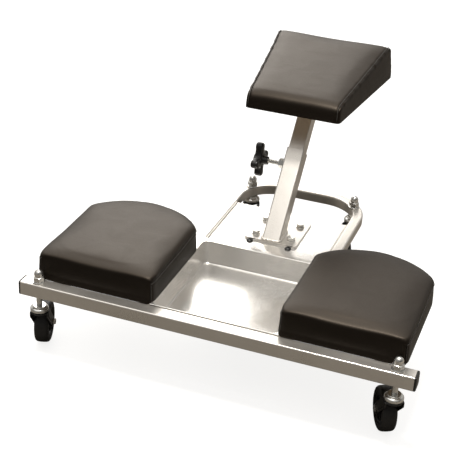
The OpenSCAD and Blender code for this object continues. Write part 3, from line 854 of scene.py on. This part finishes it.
def wheel(corner):
    """Solid tyre with a crowned tread and eased shoulders, on a ribbed plastic hub."""
    place = caster_place(corner) @ Matrix.Rotation(math.pi / 2, 4, "Y")
    r = (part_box("tyre_" + corner)[1].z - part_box("tyre_" + corner)[0].z) / 2
    w = tyre_half(corner)
    tread = [(r - 9.5 * MM, -w + 0.3 * MM), (r - 5.5 * MM, -w), (r - 3.0 * MM, -w + 0.6 * MM),
             (r - 1.1 * MM, -w + 2.6 * MM), (r - 0.35 * MM, -w + 5.4 * MM), (r, -1.6 * MM)]
    profile = soften([(25 * MM, -w + 0.6 * MM)] + tread + [(a, -b) for a, b in reversed(tread)]
                     + [(25 * MM, w - 0.6 * MM)], 1.5 * MM, 3)
    shape = Shape()
    lathe(shape, profile, place, 96, True)
    shape.build("caster_tyre_" + corner, "wheel_" + corner, "rubber", ["tyre_" + corner], 50)
    shape = Shape()
    half = [(3.1, 0.8), (6.2, 0.8), (7, 0.0), (7.4, -5.4), (9.5, -6.8), (19.5, -7.2), (21.0, -5.6),
            (21.8, -2.4), (23.2, -1.6), (24.95, -2.1)]
    half = [(a * MM, w + b * MM) for a, b in soften(half, 0.8, 3)]
    lathe(shape, half + [(a, -b) for a, b in reversed(half)], place, 96, True)
    for i in range(8):
        for sign in (-1, 1):
            spoke = rounded_rect(6.5 * MM, -1.1 * MM, 22 * MM, 1.1 * MM, 0.9 * MM, 0, 3)
            turn = place @ Matrix.Rotation(math.pi / 4 * i + 0.2, 4, "Z")
            z0, z1 = sorted((sign * 3 * MM, sign * (w - 3 * MM)))
            slab(shape, spoke, z0, z1, 0.6 * MM, turn, 2)
    shape.build("caster_hub_" + corner, "wheel_" + corner, "black_plastic", ["hub_" + corner], 32)


# ---------------------------------------------------------------- cushions

BELOW = 14 * MM
HELD = 9 * MM
KNEE_BOW = 130 * MM
KNEE_CROWN = 3000 * MM
REST_TAPER = 90 / 117
BOARD_MARGIN = 3.6 * MM


def swell(obj, pinned, cap, pressure=4.0, frames=20):
    """Blows the closed form up as cloth under pressure, then limits how far a point has moved."""
    rest = np.array([v.co for v in obj.data.vertices], float)
    group = obj.vertex_groups.new(name="pinned")
    held = [i for i, p in enumerate(rest) if pinned(p)]
    group.add(held, 1.0, "REPLACE")
    cloth = obj.modifiers.new("swell", "CLOTH")
    settings = cloth.settings
    settings.quality = 6
    settings.mass = 0.3
    settings.tension_stiffness = 5
    settings.compression_stiffness = 5
    settings.shear_stiffness = 3
    settings.bending_stiffness = 6
    settings.use_pressure = True
    settings.uniform_pressure_force = pressure
    settings.vertex_group_mass = "pinned"
    settings.effector_weights.gravity = 0
    cloth.collision_settings.use_collision = False
    scene = bpy.context.scene
    cloth.point_cache.frame_start = 1
    cloth.point_cache.frame_end = frames
    for number in range(1, frames + 1):
        scene.frame_set(number)
    shaped = obj.evaluated_get(bpy.context.evaluated_depsgraph_get())
    moved = np.array([v.co for v in shaped.data.vertices], float) - rest
    far = np.linalg.norm(moved, axis=1, keepdims=True)
    moved *= cap * np.tanh(far / cap) / np.maximum(far, 1e-9)
    ends = np.array([tuple(edge.vertices) for edge in obj.data.edges])
    count = np.bincount(ends.ravel(), minlength=len(rest))[:, None]
    for _ in range(40):
        total = np.zeros_like(moved)
        np.add.at(total, ends[:, 0], moved[ends[:, 1]])
        np.add.at(total, ends[:, 1], moved[ends[:, 0]])
        moved = (moved + total / count) / 2
        moved[held] = 0
    obj.modifiers.remove(cloth)
    obj.vertex_groups.remove(group)
    obj.data.vertices.foreach_set("co", (rest + moved).astype(np.float32).ravel())
    obj.data.update()
    scene.frame_set(1)


def apply(obj, modifier):
    bpy.context.view_layer.objects.active = obj
    bpy.ops.object.modifier_apply(modifier=modifier.name)


def ease(obj, rounds):
    step = obj.modifiers.new("ease", "SMOOTH")
    step.factor = 0.5
    step.iterations = rounds
    apply(obj, step)


def remesh(obj, voxel):
    step = obj.modifiers.new("remesh", "REMESH")
    step.mode = "VOXEL"
    step.voxel_size = voxel
    apply(obj, step)


def cut_flat(obj, height, lip, recess):
    """Cuts the form off level where it rests and sinks the middle to clear its board."""
    bm = bmesh.new()
    bm.from_mesh(obj.data)
    bmesh.ops.bisect_plane(bm, geom=bm.verts[:] + bm.edges[:] + bm.faces[:], dist=0.05 * MM,
                           plane_co=(0, 0, height), plane_no=(0, 0, 1), clear_inner=True)
    rim = [edge for edge in bm.edges if edge.is_boundary]
    made = bmesh.ops.contextual_create(bm, geom=rim)["faces"]
    bmesh.ops.inset_region(bm, faces=made, thickness=lip, use_even_offset=True)
    bmesh.ops.inset_region(bm, faces=made, thickness=0.3 * MM, use_even_offset=True)
    for vert in made[0].verts:
        vert.co.z += recess
    bmesh.ops.triangulate(bm, faces=made)
    bmesh.ops.recalc_face_normals(bm, faces=bm.faces)
    bm.to_mesh(obj.data)
    bm.free()


def cushion(name, node, body, rings, seams, cap, hold, lip=False):
    """A padded piece: closed start form, cloth pressure, level underside, seams."""
    lo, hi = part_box(node)
    mesh = bpy.data.meshes.new(name)
    shape = Shape().rings(rings)
    mesh.from_pydata([tuple(v) for v in shape.verts], [], shape.faces)
    obj = bpy.data.objects.new(name, mesh)
    bpy.context.scene.collection.objects.link(obj)
    bm = bmesh.new()
    bm.from_mesh(mesh)
    bmesh.ops.recalc_face_normals(bm, faces=bm.faces)
    bm.to_mesh(mesh)
    bm.free()
    remesh(obj, 4 * MM)
    ease(obj, 4)
    swell(obj, hold, cap)
    ease(obj, 1)
    finer = obj.modifiers.new("finer", "SUBSURF")
    finer.levels = 1
    apply(obj, finer)
    tall = max(v.co.z for v in obj.data.vertices) - lo.z
    for v in obj.data.vertices:
        v.co.z = lo.z + (v.co.z - lo.z) * (hi.z - lo.z) / tall
    cut_flat(obj, lo.z, 1.2 * MM, 5 * MM)
    if lip:
        for v in obj.data.vertices:
            near = max(0.0, 1 - (v.co.y - lo.y) / (5 * MM)) * max(0.0, 1 - (v.co.z - lo.z) / (8 * MM))
            v.co += Vector((0, -2.6 * MM, -1.1 * MM)) * min(1.0, 1.3 * near)
    lines = [project(obj, line) for line in seams]
    groove(obj, lines, 1.3 * MM, 2.2 * MM)
    obj.data.materials.append(MATERIALS["vinyl"])
    obj.data.shade_smooth()
    obj.data.set_sharp_from_angle(angle=math.radians(55))
    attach(obj, body)
    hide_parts(node)
    for i, line in enumerate(lines):
        seam_piece(f"{name}_seam_{i + 1}", line, body)
    return obj


def project(obj, line):
    """Drops a line of points onto the surface of a piece."""
    tree = BVHTree.FromObject(obj, bpy.context.evaluated_depsgraph_get())
    found = []
    for point in line:
        place, normal, _, _ = tree.find_nearest(point)
        found.append((place, normal))
    return found


def groove(obj, lines, depth, width):
    """Presses a soft channel into the surface along each line."""
    points = [p for line in lines for p, _ in line]
    if not points:
        return
    tree = kdtree.KDTree(len(points))
    for i, p in enumerate(points):
        tree.insert(p, i)
    tree.balance()
    normals = [v.normal.copy() for v in obj.data.vertices]
    for v, normal in zip(obj.data.vertices, normals):
        away = tree.find(v.co)[2]
        if away < 3 * width:
            v.co -= normal * depth * math.exp(-(away / width) ** 2)
    obj.data.update()


def seam_piece(name, line, body):
    """A welt cord lying in its channel."""
    path = [p + n * 0.1 * MM for p, n in line]
    shape = Shape()
    sweep(shape, path, circle(0.85 * MM, 0, 8), Vector((0.11, 0.07, 1)).normalized())
    obj = shape.build(name, body, "vinyl", angle=60)
    obj.data.materials[0] = THREAD
    return obj


def resample(points, gap):
    """Evenly spaced points along a line."""
    points = [Vector(p) for p in points]
    out = [points[0]]
    for a, b in zip(points, points[1:]):
        steps = max(1, round((b - a).length / gap))
        out += [a.lerp(b, (i + 1) / steps) for i in range(steps)]
    return out


def boards():
    """Plywood boards with rounded corners, a little inside the cushions' outlines."""
    for name, sign in (("left", -1), ("right", 1)):
        lo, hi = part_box("knee_cushion_" + name)
        low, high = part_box("knee_board_" + name)
        mid = (lo.x + hi.x) / 2
        reach = KNEE_BOW - BOARD_MARGIN
        half = (hi.x - lo.x) / 2 - BOARD_MARGIN
        start = math.asin(half / reach)
        outline = [(mid + reach * math.sin(a), hi.y - KNEE_BOW + reach * math.cos(a))
                   for a in np.linspace(start, -start, 30)]
        outline = ([(mid + half, lo.y + BOARD_MARGIN)] + outline + [(mid - half, lo.y + BOARD_MARGIN)])
        shape = Shape()
        slab(shape, round_outline(outline, 9 * MM), low.z, high.z - 0.2 * MM, 0.8 * MM)
        shape.build("knee_board_" + name + "_ply", "frame", "plywood", ["knee_board_" + name], 30)
    lo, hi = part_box("rest_cushion")
    low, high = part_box("rest_board")
    front = hi.x * REST_TAPER - BOARD_MARGIN - 5 * MM
    back = hi.x - BOARD_MARGIN - 5 * MM
    near, far = low.y, high.y
    shape = Shape()
    slab(shape, round_outline([(-front, near), (front, near), (back, far), (-back, far)], 9 * MM),
         low.z, high.z - 0.2 * MM, 0.8 * MM)
    shape.build("rest_board_ply", "rest", "plywood", ["rest_board"], 30)


def knee_cushions():
    """Straight front, near upright sides, a bowed rear edge and a low crown."""
    bow = KNEE_BOW
    for name, sign in (("left", -1), ("right", 1)):
        lo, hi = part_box("knee_cushion_" + name)
        mid = (lo.x + hi.x) / 2
        half = (hi.x - lo.x) / 2
        shrink = 1.0 * MM
        crown = KNEE_CROWN
        centre_y = hi.y - bow

        def half_width(y):
            if y <= centre_y:
                return half
            return min(half, math.sqrt(max(bow ** 2 - (y - centre_y) ** 2, 0)))

        def top(x, y):
            roll = max(0.0, 1 - (y - lo.y) / (26 * MM))
            side = half - abs(x - mid)
            if y > centre_y:
                side = min(side, bow - math.hypot(x - mid, y - centre_y))
            edge = max(0.0, 1 - side / (15 * MM))
            fall = ((x - mid) ** 2 + (y - centre_y) ** 2) / (2 * crown)
            return hi.z - fall - 2.4 * MM * roll ** 2 - 2.2 * MM * edge ** 2

        rings = []
        rows = list(lo.y + np.array((-1.2, 3, 8, 14, 20, 27)) * MM)
        rows += list(np.linspace(lo.y + 38 * MM, centre_y + 70 * MM, 12))
        rows += [centre_y + (bow - shrink) * math.sin(a) for a in np.radians((38, 46, 54, 62, 70, 78, 84, 88))]
        for y in rows:
            corner = max(0.0, 1 - (y - lo.y) / (10 * MM))
            w = max(half_width(y + shrink) - shrink - 4.5 * MM * corner ** 2, 4 * MM)
            arc = [(mid + w * t, y, top(mid + w * t, y)) for t in np.cos(np.linspace(0, math.pi, 19))]
            rings.append([(mid - w, y, lo.z - BELOW), (mid + w, y, lo.z - BELOW)] + arc)

        def edge(margin, height):
            """Side edge from the front corner back round the bow to the other front corner."""
            w = half - margin
            line = [(mid - w, lo.y + margin)]
            reach = bow - margin
            start = math.asin(min(1, w / reach))
            line += [(mid + reach * math.sin(a), centre_y + reach * math.cos(a))
                     for a in np.linspace(-start, start, 40)]
            line += [(mid + w, lo.y + margin)]
            return resample([Vector((x, y, top(x, y) + height)) for x, y in line], 1.5 * MM)

        seam = edge(0.5 * MM, -10 * MM)
        front_down = [Vector((p.x, p.y, z)) for p in (seam[0],) for z in np.linspace(lo.z + 6 * MM, p.z, 18)]
        back_down = [Vector((p.x, p.y, z)) for p in (seam[-1],) for z in np.linspace(p.z, lo.z + 6 * MM, 18)]
        line = front_down[:-1] + seam + back_down[1:]
        cushion("knee_pad_" + name, "knee_cushion_" + name, "frame", rings, [line], 3.5 * MM,
                lambda p, z=lo.z: p[2] < z + HELD, lip=True)


def rest_cushion():
    """Wedge: low rounded nose at the front, wide and tall at the rear."""
    lo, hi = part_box("rest_cushion")
    front_half = hi.x * REST_TAPER
    back_half = hi.x + 2.5 * MM
    deep = hi.y - lo.y
    shrink = 0.5 * MM

    def half_width(y):
        return front_half + (back_half - front_half) * (y - lo.y) / deep

    nose = 26
    profile = [(nose * (1 - math.cos(a)), 20 + 14 * math.sin(a)) for a in np.linspace(0, math.pi / 2, 9)]
    profile += [(deep / MM - 25, 70), (deep / MM - 15, 62.5), (deep / MM, 4)]

    def top(y):
        return float(np.interp((y - lo.y) / MM, [p[0] for p in profile], [p[1] for p in profile])) * MM + lo.z

    rings = []
    rows = [shrink, 1.6 * MM, 3 * MM, 5 * MM, 8 * MM, 12 * MM, 17 * MM, 23 * MM]
    rows += list(np.linspace(30 * MM, deep - 36 * MM, 10))
    rows += [deep - 28 * MM, deep - 22 * MM, deep - 16 * MM, deep - 10 * MM, deep - 5 * MM,
             deep - 2 * MM, deep - shrink]
    for row in rows:
        y = lo.y + row
        w = half_width(y) - shrink
        z = max(top(y) - shrink, lo.z + 6 * MM)
        arc = [(w * t, y, z - 1.5 * MM * t ** 4) for t in np.linspace(1, -1, 15)]
        rings.append([(-w, y, lo.z - BELOW), (w, y, lo.z - BELOW)] + arc)

    seams = []
    for sign in (-1, 1):
        line = [Vector((sign * (half_width(lo.y + d) - 6.5 * MM), lo.y + d, top(lo.y + d)))
                for d in np.linspace(4 * MM, deep - 26 * MM, 60)]
        down = [Vector((line[0].x, lo.y + 2 * MM, z)) for z in np.linspace(lo.z + 5 * MM, line[0].z - 2 * MM, 8)]
        back = [Vector((line[-1].x, y, z)) for y, z in zip(np.linspace(line[-1].y + 2 * MM, hi.y - 3 * MM, 16),
                                                          np.linspace(line[-1].z - 2 * MM, lo.z + 8 * MM, 16))]
        seams.append(resample(down + line + back, 1.5 * MM))
    cushion("rest_pad", "rest_cushion", "rest", rings, seams, 3.5 * MM, lambda p: p[2] < lo.z + HELD)


# ---------------------------------------------------------------- build

front_tube()
end_caps()
rear_loop()
tool_tray()
post_sleeve()
inner_post()
clamp_nut()
clamp_screw()
clamp_knob()
base_bolts()
plate_screws()
for corner in CORNERS:
    cap_nut(corner)
    stem(corner)
    fork(corner)
    axle(corner)
    wheel(corner)
    cad_finish("balls_" + corner, "zinc", 0.1 * MM)
for node, slot, edge in (("cross_rails", "frame_steel", 1.5), ("knee_rail_left", "frame_steel", 1.5),
                         ("knee_rail_right", "frame_steel", 1.5), ("rear_plate", "tray_steel", 0.4),
                         ("post_base", "frame_steel", 0.7), ("rest_plate", "frame_steel", 0.7),
                         ("clamp_shoe", "zinc", 0.3), ("knee_screws", "zinc", 0.4),
                         ("rest_screws", "zinc", 0.4)):
    cad_finish(node, slot, edge * MM)
boards()
knee_cushions()
rest_cushion()


# ---------------------------------------------------------------- floor, light and camera

def studio():
    scene = bpy.context.scene
    scene.view_settings.view_transform = "Standard"
    n = Nodes("studio_floor")
    seen = n.add("ShaderNodeLightPath").outputs["Is Camera Ray"]
    grain = n.noise(3, 5)
    pale = n.mix(grain, (0.26, 0.258, 0.255), (0.30, 0.298, 0.295))
    # Painted shade and light: the floor that reflections and bounce rays see is darker than the floor the camera
    # sees, with a painted lighter patch towards +X.
    painted_floor_shade_and_light = n.mix(grain, (0.145, 0.13, 0.11), (0.165, 0.148, 0.125))
    spot = n.add("ShaderNodeSeparateXYZ", Vector=n.add("ShaderNodeNewGeometry").outputs["Position"])
    painted_floor_shade_and_light = n.mix(n.ramp(spot.outputs["X"], 0.3, 0.9), painted_floor_shade_and_light, (0.36, 0.32, 0.27))
    n.set("Base Color", n.mix(seen, painted_floor_shade_and_light, pale))
    n.set("Emission Color", (1.0, 0.995, 0.985, 1.0))
    n.set("Emission Strength", n.math("MULTIPLY", seen, 0.85))
    n.set("Roughness", 0.8)
    bpy.ops.mesh.primitive_circle_add(vertices=64, radius=30, fill_type="NGON")
    floor = bpy.context.object
    floor.name = "studio_floor"
    floor.data.materials.append(n.material)

    world = bpy.data.worlds.new("studio")
    scene.world = world
    world.use_nodes = True
    tree = world.node_tree
    background = tree.nodes["Background"]
    where = tree.nodes.new("ShaderNodeTexCoord")
    split = tree.nodes.new("ShaderNodeSeparateXYZ")
    tree.links.new(where.outputs["Generated"], split.inputs[0])

    def ramp(axis, low, high, out_low, out_high):
        node = tree.nodes.new("ShaderNodeMapRange")
        tree.links.new(split.outputs[axis], node.inputs["Value"])
        for key, value in (("From Min", low), ("From Max", high), ("To Min", out_low), ("To Max", out_high)):
            node.inputs[key].default_value = value
        return node.outputs["Result"]

    def combine(operation, a, b):
        node = tree.nodes.new("ShaderNodeMath")
        node.operation = operation
        tree.links.new(a, node.inputs[0])
        tree.links.new(b, node.inputs[1])
        return node.outputs[0]

    side = ramp("X", -0.5, 0.6, 1.0, 0.45)
    rear = ramp("Y", -0.1, 0.6, 0.25, 0.92)
    high = ramp("Z", 0.58, 0.80, 0.20, 1.40)
    tree.links.new(combine("MULTIPLY", side, combine("MAXIMUM", rear, high)), background.inputs["Strength"])
    background.inputs["Color"].default_value = (1.0, 0.98, 0.95, 1)

    def lamp(name, place, target, size, power, colour=(1, 0.97, 0.92)):
        data = bpy.data.lights.new(name, "AREA")
        data.shape = "DISK"
        data.size = size
        data.energy = power
        data.color = colour
        obj = bpy.data.objects.new(name, data)
        scene.collection.objects.link(obj)
        obj.location = place
        obj.rotation_mode = "QUATERNION"
        obj.rotation_quaternion = (Vector(target) - Vector(place)).to_track_quat("-Z", "Y")

    lamp("key", (0.1, -0.41, 2.2), (0, 0.05, 0.15), 0.35, 34)
    lamp("back", (-1.2, 2.2, 2.0), (0, 0, 0.2), 1.8, 34)


def camera():
    """Three-quarter view from the front left, looking down at the creeper."""
    yaw, pitch, roll = (math.radians(a) for a in (18.889, 27.769, -3.203))
    look = Vector((-math.sin(yaw) * math.cos(pitch), math.cos(yaw) * math.cos(pitch), -math.sin(pitch)))
    right = Vector((math.cos(yaw), math.sin(yaw), 0))
    down = look.cross(right)
    right, down = (right * math.cos(roll) + down * math.sin(roll),
                   down * math.cos(roll) - right * math.sin(roll))
    data = bpy.data.cameras.new("camera")
    data.sensor_width = 36
    data.lens = 1165.96 / 450 * 36
    cam = bpy.data.objects.new("camera", data)
    bpy.context.scene.collection.objects.link(cam)
    spot = Vector((531.2, -1492.1, 1022.2)) * MM + Vector((0, tube_lo.y, TOP))
    turn = Matrix((right, -down, -look)).transposed().to_4x4()
    cam.matrix_world = Matrix.Translation(spot) @ turn
    bpy.context.scene.camera = cam


studio()
camera()
